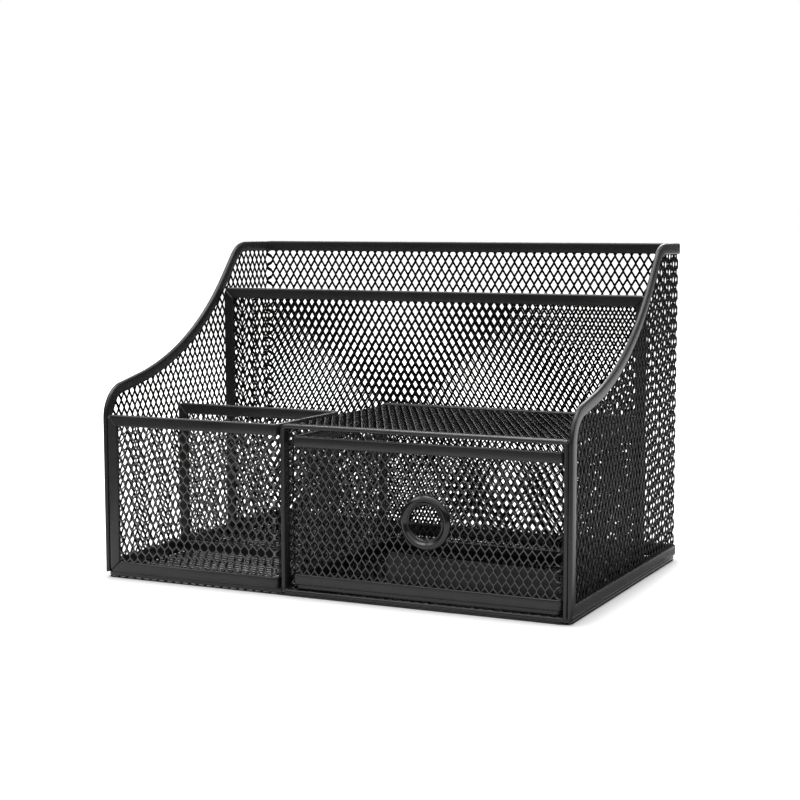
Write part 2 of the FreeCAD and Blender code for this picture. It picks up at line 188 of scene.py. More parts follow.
def leave_frame(bm, width):
    """Leave a frame of this width of a flat sheet."""
    inner = bm.faces[:]
    bmesh.ops.inset_region(bm, faces=inner, thickness=width, use_even_offset=True,
                           use_boundary=True)
    drop_faces(bm, inner)


def plate(u0, u1, v0, v1):
    """A flat rectangle at z = 0."""
    bm = bmesh.new()
    bmesh.ops.create_grid(bm, x_segments=1, y_segments=1, size=0.5)
    bmesh.ops.scale(bm, vec=(u1 - u0, v1 - v0, 1), verts=bm.verts)
    bmesh.ops.translate(bm, vec=((u0 + u1) / 2, (v0 + v1) / 2, 0), verts=bm.verts)
    return bm


def join(bm, *others):
    for other in others:
        mesh = bpy.data.meshes.new("loose")
        other.to_mesh(mesh)
        other.free()
        bm.from_mesh(mesh)
        bpy.data.meshes.remove(mesh)
    return bm


def new_object(bm, name, material):
    mesh = bpy.data.meshes.new(name)
    bm.to_mesh(mesh)
    bm.free()
    mesh.materials.append(material)
    thing = bpy.data.objects.new(name, mesh)
    bpy.context.scene.collection.objects.link(thing)
    return thing


def finish_piece(bm, name, body, material, nodes, smooth=True):
    """Bring the work to metres and to the frame, and hang it on its body."""
    bmesh.ops.remove_doubles(bm, verts=bm.verts, dist=WELD)
    bmesh.ops.recalc_face_normals(bm, faces=bm.faces)
    bmesh.ops.translate(bm, vec=-MIDDLE, verts=bm.verts)
    bmesh.ops.scale(bm, vec=(MM, MM, MM), verts=bm.verts)
    piece = new_object(bm, name, material)
    if smooth:
        piece.data.polygons.foreach_set("use_smooth", [True] * len(piece.data.polygons))
        piece.data.set_sharp_from_angle(angle=math.radians(SHARP))
    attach(piece, body)
    if nodes:
        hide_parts(*nodes)


def finish_mesh(bm, name, body, paint, *nodes):
    finish_piece(bm, name, body, paint, nodes, smooth=False)


def finish_strip(bm, name, body, *nodes):
    finish_piece(bm, name, body, STRIP_PAINT, nodes)


# ---- expanded mesh -------------------------------------------------------------
def repeat(bm, step, count):
    """Copy the work along a step until there are at least `count` of it."""
    done = 1
    while done < count:
        copy = bmesh.ops.duplicate(bm, geom=whole(bm))
        bmesh.ops.translate(bm, vec=Vector(step) * done, verts=new_verts(copy))
        done *= 2


def diamonds(width, height, pitch, bond):
    """Six-sided diamonds that fill a rectangle, each row half a pitch along."""
    short, long = pitch
    bm = bmesh.new()
    bmesh.ops.create_circle(bm, cap_ends=True, segments=6, radius=1)
    bmesh.ops.scale(bm, vec=(short / math.sqrt(3), bond, 1), verts=bm.verts)
    for v in bm.verts:
        if abs(v.co.x) < short / 4:
            v.co.y = math.copysign((long - bond) / 2, v.co.y)
    repeat(bm, (short / 2, long / 2, 0), 2)
    repeat(bm, (short, 0, 0), width / short + 2)
    drop_faces(bm, [f for f in bm.faces if f.calc_center_median().x > width + short])
    repeat(bm, (0, long, 0), height / long + 2)
    drop_faces(bm, [f for f in bm.faces if f.calc_center_median().y > height + long])
    bmesh.ops.remove_doubles(bm, verts=bm.verts, dist=DIAMOND_WELD)
    return bm


def openwork(u0, u1, v0, v1, make, middle=HEM / 2, kept=None):
    """A flat sheet of mesh with its tilted, ridged strands.

    Its middle plane is `middle` up, and only faces that are `kept` stay.  The
    attribute "crest" is 1 along the middle of a strand and 0 at its edges.
    """
    width, height = u1 - u0, v1 - v0
    bm = diamonds(width, height, make["pitch"], make["bond"])
    crest = bm.verts.layers.float.new("crest")
    for v in bm.verts:
        v[crest] = 1.0
    holes = bm.faces[:]
    bmesh.ops.inset_individual(bm, faces=holes, thickness=make["strand"] / 2,
                               use_even_offset=True)
    for hole in holes:
        across = hole.calc_center_median().y
        for v in hole.verts:
            v.co.z = make["twist"] * (v.co.y - across)
            v[crest] = 0.0
    drop_faces(bm, holes)
    for edge, outward in (((0, 0, 0), (-1, 0, 0)), ((width, 0, 0), (1, 0, 0)),
                          ((0, 0, 0), (0, -1, 0)), ((0, height, 0), (0, 1, 0))):
        cut(bm, edge, outward)
    bmesh.ops.translate(bm, vec=(u0, v0, middle - make["gauge"] / 2), verts=bm.verts)
    if kept:
        drop_faces(bm, [f for f in bm.faces if not kept(f.calc_center_median())])
    upper = set(new_verts(bmesh.ops.extrude_face_region(bm, geom=bm.faces[:])))
    bmesh.ops.translate(bm, vec=(0, 0, make["gauge"]), verts=list(upper))
    for v in bm.verts:
        v.co.z += make["ridge"] * v[crest] * (1 if v in upper else -1)
    return bm


# ---- folded strip --------------------------------------------------------------
def section(at, way, width=HEM_WIDTH):
    """Cross-section of a folded strip whose nose passes through `at`.

    The strip will run along `way`, with the sheet on its right-hand side.
    """
    bm = plate(0, width, 0, HEM)
    nose = [v for v in bm.verts if v.co.x < width / 2]
    soften(bm, nose, NOSE, 4, "VERTICES")
    lips = [v for v in bm.verts if v.co.x > width - 0.01]
    soften(bm, lips, LIP, 3, "VERTICES")
    along = heading(way)
    right = Vector((along.y, -along.x, 0))
    stand = Matrix((right, Vector((0, 0, 1)), -along)).transposed().to_4x4()
    bmesh.ops.transform(bm, matrix=Matrix.Translation(Vector(at)) @ stand,
                        verts=bm.verts)
    return bm


def run_strip(at, way, legs, width=HEM_WIDTH, lead=0.0):
    """Run a strip along straights and tangent bends: (run, right turn, radius).

    It starts `lead` before its first point, for a mitre to cut.
    """
    at = Vector(at) - heading(way) * lead
    bm = section(at, way, width)
    end = whole(bm)
    for i, (run, turn, radius) in enumerate(legs):
        step = heading(way) * (run + (lead if i == 0 else 0))
        grown = bmesh.ops.extrude_face_region(bm, geom=end)
        end = grown["geom"]
        bmesh.ops.translate(bm, vec=step, verts=new_verts(grown))
        at += step
        if turn:
            across = heading(way - 90) * math.copysign(radius, turn)
            pivot = at + across
            steps = max(4, round(abs(turn) * math.sqrt(radius) / 20))
            spun = bmesh.ops.spin(bm, geom=end, cent=pivot, axis=(0, 0, 1), steps=steps,
                                  angle=-math.radians(turn), use_merge=False)
            end = spun["geom_last"]
            at = pivot - Matrix.Rotation(-math.radians(turn), 3, "Z") @ across
            way -= turn
    return bm


def mitre(bm, corner, outward, reach):
    """Cut a strip's end on the slant and close it, a hair short of the corner.

    Only what lies within `reach` of the corner, along u, is cut.
    """
    outward = Vector(outward).normalized()
    end = [g for g in whole(bm)
           if all(abs(v.co.x - corner[0]) < reach for v in getattr(g, "verts", [g]))]
    bmesh.ops.bisect_plane(bm, geom=end, plane_co=Vector(corner) - outward * HAIR,
                           plane_no=outward, clear_outer=True)
    cap(bm)


def frame_hem(u0, u1, v0, v1):
    """The strip folded round a rectangle, its corners rounded and creased."""
    bm = plate(u0, u1, v0, v1)
    middle = Vector(((u0 + u1) / 2, (v0 + v1) / 2, 0))
    leave_frame(bm, HEM_WIDTH)
    thicken(bm, HEM)

    def outer_corner(e):
        a, b = (v.co for v in e.verts)
        return abs(a.z - b.z) > HEM / 2 and abs(a.x - middle.x) > (u1 - u0) / 2 - 1
    soften(bm, [e for e in bm.edges if outer_corner(e)], HEM_CORNER, 5)
    noses, lips = [], []
    for e in bm.edges:
        walls = [f for f in e.link_faces if abs(f.normal.z) < 0.1]
        if len(e.link_faces) == 2 and len(walls) == 1:
            wall = walls[0]
            outer = wall.normal.dot(wall.calc_center_median() - middle) > 0
            (noses if outer else lips).append(e)
    soften(bm, noses, NOSE, 4)
    soften(bm, [e for e in lips if e.is_valid], LIP, 3)
    crease(bm, u0, u1, v0, v1)
    return bm


def crease(bm, u0, u1, v0, v1):
    """Pinch the strip along the fold at each corner of its frame."""
    for u, v, slope in ((u0, v0, 1), (u0, v1, -1), (u1, v0, -1), (u1, v1, 1)):
        corner = Vector((u, v, 0))
        across = Vector((slope, -1, 0)).normalized()
        for side in (-PINCH_HALF, 0, PINCH_HALF):
            cut(bm, corner + across * side, across, clear=False)
        for vert in bm.verts:
            away = vert.co - corner
            near = max(abs(away.x), abs(away.y)) < 2 * HEM_WIDTH
            if near and abs(away.dot(across)) < 0.01:
                vert.co.z = HEM / 2 + (vert.co.z - HEM / 2) * PINCH


# ---- bending -------------------------------------------------------------------
def bend(bm, start, way, runs, upright="Z", radius=BEND):
    """Bend a flat blank a quarter turn to the right after each run but the last.

    The runs are lengths of its inner face, and `start` is where that face
    begins.  The blank's v then stands along `upright`.
    """
    arc = radius * math.pi / 2
    legs, at, u = [], Vector((*start, 0)), 0.0
    for run in runs:
        legs.append((u, run, at.copy(), way))
        at += heading(way) * run
        at += heading(way) * radius + heading(way - 90) * radius
        way -= 90
        u += run + arc
    for u0, run, _, _ in legs[:-1]:
        for part in range(BEND_STEPS + 1):
            cut(bm, (u0 + run + arc * part / BEND_STEPS, 0, 0), (1, 0, 0), clear=False)
    for v in bm.verts:
        begun = [leg for leg in legs if leg[0] <= v.co.x + 1e-6] or legs[:1]
        u0, run, at, way = begun[-1]
        past = v.co.x - u0 - run
        if past <= 0 or len(begun) == len(legs):
            spot = at + heading(way) * (v.co.x - u0) + heading(way + 90) * v.co.z
        else:
            turn = min(past, arc) / radius
            pivot = at + heading(way) * run + heading(way - 90) * radius
            out = heading(way + 90 - math.degrees(turn))
            spot = pivot + out * (radius + v.co.z)
        spot.z = v.co.y
        v.co = spot if upright == "Z" else Vector((spot.x, spot.z, spot.y))
    return bm


def dish(bm, left, right, front, back, foot, keep_flat=None):
    """Turn a flat floor's edge up all round, as a shallow tray."""
    corner, flat_corner = TRAY_CORNER, TRAY_CORNER - TRAY_BEND
    for v in bm.verts:
        if keep_flat and keep_flat(v.co):
            continue
        near = Vector((min(max(v.co.x, left + corner), right - corner),
                       min(max(v.co.y, front + corner), back - corner), v.co.z))
        out = v.co - near
        past = out.length - flat_corner
        if past <= 0:
            continue
        turn = min(past / TRAY_BEND, math.pi / 2)
        reach = TRAY_BEND - (v.co.z - foot)
        spot = near + out.normalized() * (flat_corner + reach * math.sin(turn))
        spot.z = foot + TRAY_BEND - reach * math.cos(turn)
        spot.z += max(past - TRAY_BEND * math.pi / 2, 0)
        v.co = spot
    return bm


# ---- finishes ------------------------------------------------------------------
def shader_nodes(name):
    material = bpy.data.materials.new(name)
    material.use_nodes = True
    tree = material.node_tree
    return material, tree, tree.nodes["Principled BSDF"]


def add(tree, kind, **values):
    node = tree.nodes.new(kind)
    for key, value in values.items():
        if key in node.inputs:
            node.inputs[key].default_value = value
        else:
            setattr(node, key, value)
    return node


def ramp(tree, *stops):
    """A colour ramp whose first and last stops are (position, colour)."""
    node = add(tree, "ShaderNodeValToRGB")
    for element, (position, colour) in zip(node.color_ramp.elements, stops):
        element.position, element.color = position, (*colour, 1)
    return node


def powder_coat(name, colour, rough, gloss, grain, relief, painted_crest_highlight=None):
    """Baked powder paint: faint orange peel, uneven tone and sheen.

    Given a crest colour, strands of mesh have that lighter colour along their
    crest, a painted highlight where light would catch them; the paint between
    has one tone.
    """
    material, tree, paint = shader_nodes(name)
    link = tree.links.new
    place = add(tree, "ShaderNodeTexCoord")
    cloud = add(tree, "ShaderNodeTexNoise", Scale=38.0, Detail=4.0, Roughness=0.6)
    peel = add(tree, "ShaderNodeTexNoise", Scale=grain, Detail=3.0, Roughness=0.55)
    for noise in (cloud, peel):
        link(place.outputs["Object"], noise.inputs["Vector"])
    if painted_crest_highlight:
        # painted highlight: a lighter colour along the strands' crests
        tone = add(tree, "ShaderNodeAttribute", attribute_name="crest")
        tint = ramp(tree, (0.35, colour), (0.8, painted_crest_highlight))
    else:
        tone = cloud
        tint = ramp(tree, (0.3, [c * 0.8 for c in colour]),
                    (0.72, [c * 1.3 for c in colour]))
    link(tone.outputs["Fac"], tint.inputs["Fac"])
    link(tint.outputs["Color"], paint.inputs["Base Color"])
    sheen = add(tree, "ShaderNodeMapRange")
    sheen.inputs["To Min"].default_value = rough - 0.06
    sheen.inputs["To Max"].default_value = rough + 0.07
    link(cloud.outputs["Fac"], sheen.inputs["Value"])
    link(sheen.outputs["Result"], paint.inputs["Roughness"])
    bump = add(tree, "ShaderNodeBump", Strength=relief, Distance=0.0002)
    link(peel.outputs["Fac"], bump.inputs["Height"])
    link(bump.outputs["Normal"], paint.inputs["Normal"])
    paint.inputs["IOR"].default_value = 1.5
    paint.inputs["Specular IOR Level"].default_value = gloss
    return material


STRIP_PAINT = powder_coat("black_powder_coat_on_strip", (0.0230, 0.0225, 0.0225),
                          rough=0.24, gloss=0.50, grain=900.0, relief=0.22)
# its lighter crest colour is a painted highlight on the strands
MESH_PAINT = powder_coat("black_powder_coat_on_mesh", (0.0050, 0.0048, 0.0048),
                         rough=0.26, gloss=0.42, grain=1500.0, relief=0.20,
                         painted_crest_highlight=(0.1450, 0.1425, 0.1418))
WALL_PAINT = powder_coat("black_powder_coat_on_outer_mesh", (0.0030, 0.0028, 0.0028),
                         rough=0.30, gloss=0.09, grain=1500.0, relief=0.20)
# its lighter crest colour is a painted highlight on the strands
SLEEVE_PAINT = powder_coat("black_powder_coat_on_sleeve", (0.0040, 0.0038, 0.0038),
                           rough=0.25, gloss=0.90, grain=1500.0, relief=0.20,
                           painted_crest_highlight=(0.0600, 0.0590, 0.0588))
EYELET_PAINT = powder_coat("black_enamel_on_eyelet", (0.0110, 0.0107, 0.0107),
                           rough=0.19, gloss=0.65, grain=700.0, relief=0.10)
PLATE_PAINT = powder_coat("grey_primer_on_plate", (0.050, 0.0488, 0.0484),
                          rough=0.50, gloss=0.12, grain=1100.0, relief=0.40)


# ---- the wrap: left side, back and right side in one -----------------------------
def side_edge():
    """The free edge of a side as legs: straight run, turn to the right, radius."""
    shelf, steep = math.radians(SHELF_ANGLE), math.radians(STEEP_ANGLE)
    rise = (HEIGHT - SHOULDER_Z - SHOULDER_RADIUS * math.cos(shelf)
            - SHELF_RUN * math.sin(shelf)
            - SWEEP_RADIUS * (math.cos(shelf) - math.cos(steep))
            - TOP_RADIUS * (1 - math.cos(steep)))
    return [(SHOULDER_Z - TRAY_HEIGHT, 90 - SHELF_ANGLE, SHOULDER_RADIUS),
            (SHELF_RUN, SHELF_ANGLE - STEEP_ANGLE, SWEEP_RADIUS),
            (rise / math.sin(steep), STEEP_ANGLE, TOP_RADIUS)]


def edge_points(inset):
    """Points along a side's free edge, drawn `inset` inside it."""
    at, way, points = Vector((0, TRAY_HEIGHT, 0)), 90.0, []
    for run, turn, radius in side_edge():
        points.append(at + heading(way - 90) * inset)
        at += heading(way) * run
        pivot = at + heading(way - 90) * math.copysign(radius, turn)
        for part in range(CURVE_STEPS + 1):
            turned = -math.radians(turn * part / CURVE_STEPS)
            spoke = Matrix.Rotation(turned, 3, "Z") @ (at - pivot)
            points.append(pivot + spoke * (1 - inset / math.copysign(radius, turn)))
        at, way = pivot + spoke, way - turn
    return points


def wrap():
    """The outer wall and its strips."""
    side = DEPTH - HEM - BEND
    runs = [side, WIDTH - 2 * HEM - 2 * BEND, side]
    length = sum(runs) + BEND * math.pi
    mesh_edge = edge_points(HEM_WIDTH / 2)

    def kept(spot):
        u = min(spot.x, length - spot.x)
        for a, b in zip(mesh_edge, mesh_edge[1:]):
            if a.x < u <= b.x:
                return spot.y < a.y + (b.y - a.y) * (u - a.x) / (b.x - a.x)
        return u > mesh_edge[0].x

    sheet = openwork(LEAF, length - LEAF, TRAY_HEIGHT + LEAF, HEIGHT - LEAF - 1,
                     WALL_MESH, kept=kept)
    lead = 3                              # for the mitres to cut
    front, shelf, steep = side_edge()
    across = length - 2 * edge_points(0)[-1].x
    foot, far_foot = (0, TRAY_HEIGHT, 0), (length, TRAY_HEIGHT, 0)
    edge = run_strip(foot, 90, [front, shelf, steep, (across, *steep[1:]),
                                (steep[0], *shelf[1:]), (shelf[0], *front[1:]),
                                (front[0] + lead, 0, 0)], lead=lead)
    mitre(edge, foot, (1, -1, 0), 2 * HEM_WIDTH)
    mitre(edge, far_foot, (-1, -1, 0), 2 * HEM_WIDTH)
    base = run_strip(far_foot, 180, [(length + lead, 0, 0)], lead=lead)
    mitre(base, foot, (-1, 1, 0), 2 * length)
    mitre(base, far_foot, (1, 1, 0), 2 * length)
    for bm in (sheet, edge, base):
        bend(bm, (HEM, 0), 90, runs)
    finish_mesh(sheet, "wrap_mesh", "stand", WALL_PAINT,
                "left_side_mesh", "back_mesh", "right_side_mesh")
    finish_strip(edge, "wrap_edge_strip", "stand",
                 "left_side_hem", "back_top_hem", "right_side_hem")
    finish_strip(base, "wrap_base_strip", "stand",
                 "left_base_hem", "back_base_hem", "right_base_hem")


# ---- floor trays ---------------------------------------------------------------
def tray(left, right, front, back, foot, open_edge=None):
    """A mesh floor with its edge bent up, drawn to its outer size.

    Where `open_edge` is true the floor stays flat, and ends at the front.
    """
    spread = TRAY_BEND * (math.pi / 2 - 1) + TRAY_EDGE
    grown = (left - spread, right + spread, front - spread, back + spread)
    corner = TRAY_CORNER + spread

    def kept(spot):
        if open_edge and open_edge(spot) and spot.y < front:
            return False
        near_x = min(max(spot.x, grown[0] + corner), grown[1] - corner)
        near_y = min(max(spot.y, grown[2] + corner), grown[3] - corner)
        return math.hypot(spot.x - near_x, spot.y - near_y) < corner
    bm = openwork(*grown, WALL_MESH, middle=foot + MESH / 2 + TRAY_LIFT, kept=kept)
    return dish(bm, left, right, front, back, foot, open_edge)


def rim(left, right, front, back, low, high, mouth=None):
    """The pressed edge of a tray: a band with rounded corners, open at a mouth."""
    bm = plate(left, right, front, back)
    soften(bm, bm.verts[:], TRAY_CORNER, 6, "VERTICES")
    leave_frame(bm, MESH)
    if mouth:
        for x in mouth:
            cut(bm, (x, 0, 0), (1, 0, 0), clear=False)
        drop_faces(bm, [f for f in bm.faces if f.calc_center_median().y < front + MESH
                        and mouth[0] < f.calc_center_median().x < mouth[1]])
    thicken(bm, high - low)
    bmesh.ops.translate(bm, vec=(0, 0, low), verts=bm.verts)
    soften_square_edges(bm, 0.25, 2)
    return bm


def floors():
    stand_floor = (LEAF, WIDTH - LEAF, LEAF, DEPTH - LEAF)
    drawer_floor = (DRAWER_LEFT + LEAF, DRAWER_RIGHT - LEAF,
                    DRAWER_FRONT + LEAF, DRAWER_BACK - LEAF)

    def under_bay(spot):
        return MOUTH[0] < spot.x < MOUTH[1] and spot.y < TRAY_CORNER
    finish_mesh(tray(*stand_floor, 0.0, under_bay), "floor_mesh_tray", "stand",
                WALL_PAINT, "floor_tray")
    # the mesh shows in the gap between the pressed edge and the ring at its foot
    stand_rim = rim(*stand_floor, RIM_GAP[1], TRAY_HEIGHT + LEAF, MOUTH)
    foot_ring = rim(*stand_floor, 0.0, RIM_GAP[0])
    sill = plate(MOUTH[0] - 1, MOUTH[1] + 1, LEAF, LEAF + MESH)
    thicken(sill, BAY_FOOT)
    finish_piece(join(stand_rim, foot_ring, sill), "floor_tray_rim", "stand",
                 STRIP_PAINT, ())
    finish_piece(rim(*drawer_floor, DRAWER_TRAY_FOOT + 0.5, DRAWER_FOOT + LEAF),
                 "drawer_tray_rim", "drawer", STRIP_PAINT, ())
    finish_mesh(tray(*drawer_floor, DRAWER_TRAY_FOOT), "drawer_mesh_tray", "drawer",
                WALL_PAINT, "drawer_floor_tray")


# ---- letter-slot partition -------------------------------------------------------
def stand_up(bm, at):
    """Stand a flat blank upright across the stand, facing the front."""
    turn = Matrix.Rotation(math.pi / 2, 4, "X")
    bmesh.ops.transform(bm, matrix=Matrix.Translation((0, at + HEM, 0)) @ turn,
                        verts=bm.verts)
    return bm


def partition():
    low, high = BAY_FOOT, SLOT_TOP
    left, right = HEM, WIDTH - HEM
    sheet = openwork(left + LEAF, right - LEAF, low + LEAF, high - LEAF, PARTITION_MESH)
    strip = frame_hem(left, right, low, high)
    finish_mesh(stand_up(sheet, SLOT_Y), "partition_mesh_sheet", "stand", WALL_PAINT,
                "partition_mesh")
    finish_strip(stand_up(strip, SLOT_Y), "partition_strip", "stand", "partition_hem")


# ---- pen pot ---------------------------------------------------------------------
def pot():
    """Rear wall, right wall and front wall of the pot, hemmed flat, then bent."""
    across = POT_RIGHT - HEM - BEND - HEM
    deep = POT_DIVIDER_Y - HEM - 2 * BEND
    runs = [across, deep, across]
    length = sum(runs) + BEND * math.pi
    low, high = TRAY_HEIGHT, POT_TOP
    sheet = openwork(LEAF, length - LEAF, low + LEAF, high - LEAF, POT_MESH)
    strip = frame_hem(POT_STRIP_END, length - POT_STRIP_END, low, high)
    for bm in (sheet, strip):
        bend(bm, (HEM, POT_DIVIDER_Y), 0, runs)
    finish_mesh(sheet, "pot_mesh_liner", "stand", MESH_PAINT,
                "pot_front_mesh", "pot_side_mesh", "pot_divider_mesh")
    finish_strip(strip, "pot_strip", "stand", "pot_top_hem", "pot_base_hem",
                 "pot_front_end_hem", "pot_divider_end_hem")


# ---- closed tubes: the drawer's sleeve and the drawer's walls -----------------------
def tube(left, right, low, high, radius):
    """Runs round the inner face of a closed tube, from the middle of its first side."""
    across = right - left - 2 * (HEM + radius)
    up = high - low - 2 * (HEM + radius)
    runs = [across / 2, up, across, up, across / 2]
    return runs, sum(runs) + 4 * radius * math.pi / 2


def loop_strip(length, nose, inward, width):
    """A strip for a closed tube's rim, its nose at v = `nose`.

    Its ends are left open, and meet where the tube closes.
    """
    start, way = ((0, nose, 0), 0) if inward < 0 else ((length, nose, 0), 180)
    bm = run_strip(start, way, [(length, 0, 0)], width)
    drop_faces(bm, [f for f in bm.faces if abs(f.normal.x) > 0.9 and len(f.verts) > 4])
    return bm


def sleeve():
    runs, length = tube(BAY_LEFT, BAY_RIGHT, BAY_FOOT, BAY_TOP, SLEEVE_BEND)
    middle, inner_low = (BAY_LEFT + BAY_RIGHT) / 2, BAY_FOOT + HEM
    sheet = openwork(0, length, LEAF, SLOT_Y - LEAF, SLEEVE_MESH)
    front = loop_strip(length, 0, 1, HEM_WIDTH)
    rear = loop_strip(length, SLOT_Y, -1, HEM_WIDTH)
    for bm in (sheet, front, rear):
        bend(bm, (middle, inner_low), 180, runs, upright="Y", radius=SLEEVE_BEND)
    finish_mesh(sheet, "sleeve_mesh", "stand", SLEEVE_PAINT, "sleeve_left_mesh",
                "sleeve_deck_mesh", "sleeve_right_mesh", "sleeve_floor_mesh")
    finish_strip(front, "sleeve_front_strip", "stand", "sleeve_front_hem")
    finish_strip(rear, "sleeve_rear_strip", "stand", "sleeve_rear_hem")


def drawer_walls():
    runs, length = tube(DRAWER_LEFT, DRAWER_RIGHT, DRAWER_FRONT, DRAWER_BACK, DRAWER_BEND)
    middle, inner_back = (DRAWER_LEFT + DRAWER_RIGHT) / 2, DRAWER_BACK - HEM
    pull_u = runs[0] + runs[1] + runs[2] / 2 + DRAWER_BEND * math.pi + (middle - PULL_X)

    def kept(spot):
        return math.hypot(spot.x - pull_u, spot.y - PULL_Z) > PULL_CREST_R
    sheet = openwork(0, length, DRAWER_FOOT + LEAF, DRAWER_TOP - LEAF, DRAWER_MESH,
                     kept=kept)
    top = loop_strip(length, DRAWER_TOP, -1, DRAWER_HEM)
    base = loop_strip(length, DRAWER_FOOT, 1, DRAWER_HEM)
    for bm in (sheet, top, base):
        bend(bm, (middle, inner_back), 0, runs, radius=DRAWER_BEND)
    finish_mesh(sheet, "drawer_mesh_walls", "drawer", MESH_PAINT, "drawer_front_mesh",
                "drawer_left_mesh", "drawer_back_mesh", "drawer_right_mesh")
    finish_strip(top, "drawer_top_strip", "drawer", "drawer_top_hem")
    finish_strip(base, "drawer_base_strip", "drawer", "drawer_base_hem")


# ---- finger ring -----------------------------------------------------------------
def ring(corners):
    """Turn a closed profile about the finger ring's axis.

    Its corners are (radius, y, softening).
    """
    bm = bmesh.new()
    bm.faces.new([bm.verts.new((r, y, 0)) for r, y, _ in corners])
    for r, y, softening in corners:
        if softening:
            near = [v for v in bm.verts
                    if abs(v.co.x - r) < 1e-4 and abs(v.co.y - y) < 1e-4]
            soften(bm, near, softening, 6, "VERTICES")
    bmesh.ops.delete(bm, geom=bm.faces[:], context="FACES_ONLY")
    bmesh.ops.spin(bm, geom=bm.verts[:] + bm.edges[:], cent=(0, 0, 0), axis=(0, 1, 0),
                   angle=2 * math.pi, steps=RING_STEPS, use_merge=True)
    bmesh.ops.translate(bm, vec=(PULL_X, 0, PULL_Z), verts=bm.verts)
    return bm


def finger_ring():
    face = DRAWER_FRONT + LEAF
    crest = face - PULL_PROUD
    rear = face + MESH
    lip = rear + 1.0
    bore, barrel = PULL_BORE_R, PULL_BORE_R + 0.5
    eyelet = ring([
        (PULL_FLANGE_R, face, 0), (PULL_FLANGE_R, face - 0.45, 0.35),
        (PULL_CREST_R + 1.2, crest + 0.35, 0.4), (PULL_CREST_R + 0.4, crest, 0.2),
        (PULL_CREST_R, crest + 0.15, 0.2), (PULL_CREST_R - 0.9, face - 0.5, 0.15),
        (bore + 0.4, face - 0.75, 0.18), (bore, face - 0.4, 0.2), (bore, lip, 0.4),
        (barrel + 1.0, lip, 0.2), (barrel + 1.0, lip - 0.45, 0),
        (barrel, lip - 0.5, 0), (barrel, face, 0)])
    finish_piece(eyelet, "finger_ring_eyelet", "drawer", EYELET_PAINT,
                 ("pull_eyelet",))
    inner = barrel + 0.02
    washer = ring([(inner, rear, 0), (WASHER_R, rear, 0.15),
                   (WASHER_R, rear + WASHER_GAUGE, 0.15),
                   (inner, rear + WASHER_GAUGE, 0)])
    finish_piece(washer, "finger_ring_washer", "drawer", EYELET_PAINT,
                 ("pull_washer",))


# ---- plate behind the drawer's front ------------------------------------------------
def front_plate():
    """A bare painted plate that stands inside the drawer's front, low on the right."""
    bm = plate(PLATE_LEFT, DRAWER_RIGHT - HEM - 0.6, DRAWER_FOOT + 0.4, PLATE_TOP)
    for v in bm.verts:
        if v.co.y > PLATE_TOP / 2:
            v.co.y += 0.4 if v.co.x < PULL_X else -1.2    # its top edge slopes
    thicken(bm, PLATE_GAUGE)
    soften(bm, [e for e in bm.edges if abs(e.verts[0].co.z - e.verts[1].co.z) > 0.5],
           1.2, 4)
    soften_square_edges(bm, 0.15, 2)
    stand_up(bm, DRAWER_FRONT + LEAF + MESH + PLATE_GAP - HEM + PLATE_GAUGE)
    finish_piece(bm, "drawer_front_plate", "drawer", PLATE_PAINT, ())


# ---- studio ----------------------------------------------------------------------
def sweep_floor():
    """A plain pale ground, white to the eye, that keeps the stand's shadow.

    It glows for the camera alone: not at all under the stand, and the more the
    farther away from it, which paints shade on the ground round the stand's foot.
    """
    material, tree, paint = shader_nodes("pale_ground")
    paint.inputs["Base Color"].default_value = (0.88, 0.88, 0.88, 1)
    paint.inputs["Roughness"].default_value = 0.9
    paint.inputs["Specular IOR Level"].default_value = 0.1
    eye = add(tree, "ShaderNodeLightPath")
    place = add(tree, "ShaderNodeTexCoord")
    fold = add(tree, "ShaderNodeVectorMath", operation="ABSOLUTE")
    beyond = add(tree, "ShaderNodeVectorMath", operation="SUBTRACT")
    beyond.inputs[1].default_value = (WIDTH / 2 * MM, DEPTH / 2 * MM, 0)
    parts = add(tree, "ShaderNodeSeparateXYZ")
    far = add(tree, "ShaderNodeMath", operation="MAXIMUM")
    reach = add(tree, "ShaderNodeMapRange")
    reach.inputs["From Min"].default_value = -0.003
    reach.inputs["From Max"].default_value = 0.3
    # painted shade: the glow is weakest next to the stand and grows with distance
    glow_with_painted_shade = ramp(tree, (0, (0, 0, 0)), (1, (0.9, 0.9, 0.9)))
    glow_with_painted_shade.color_ramp.elements.new(0.05).color = (0.66, 0.66, 0.66, 1)
    seen = add(tree, "ShaderNodeMath", operation="MULTIPLY")
    glow = add(tree, "ShaderNodeEmission", Strength=1.0)
    both = add(tree, "ShaderNodeAddShader")
    for source, target in (
            (place.outputs["Object"], fold.inputs[0]),
            (fold.outputs[0], beyond.inputs[0]),
            (beyond.outputs[0], parts.inputs[0]),
            (parts.outputs["X"], far.inputs[0]),
            (parts.outputs["Y"], far.inputs[1]),
            (far.outputs[0], reach.inputs["Value"]),
            (reach.outputs["Result"], glow_with_painted_shade.inputs["Fac"]),
            (glow_with_painted_shade.outputs["Color"], seen.inputs[0]),
            (eye.outputs["Is Camera Ray"], seen.inputs[1]),
            (seen.outputs[0], glow.inputs["Strength"]),
            (paint.outputs[0], both.inputs[0]),
            (glow.outputs[0], both.inputs[1]),
            (both.outputs[0], tree.nodes["Material Output"].inputs["Surface"])):
        tree.links.new(source, target)
    bm = bmesh.new()
    bmesh.ops.create_grid(bm, x_segments=1, y_segments=1, size=20.0)
    bmesh.ops.translate(bm, vec=(0, 0, GROUND_Z), verts=bm.verts)
    new_object(bm, "studio_ground", material)


def painted_reflection_card(name, bm, shade):
    """A grey card or wall which only the paint's gloss can see: a painted reflection."""
    material, _, paint = shader_nodes(name)
    paint.inputs["Base Color"].default_value = (shade, shade, shade, 1)
    paint.inputs["Roughness"].default_value = 1.0
    card = new_object(bm, name, material)
    for kind in ("camera", "diffuse", "shadow", "transmission"):
        setattr(card, "visible_" + kind, False)


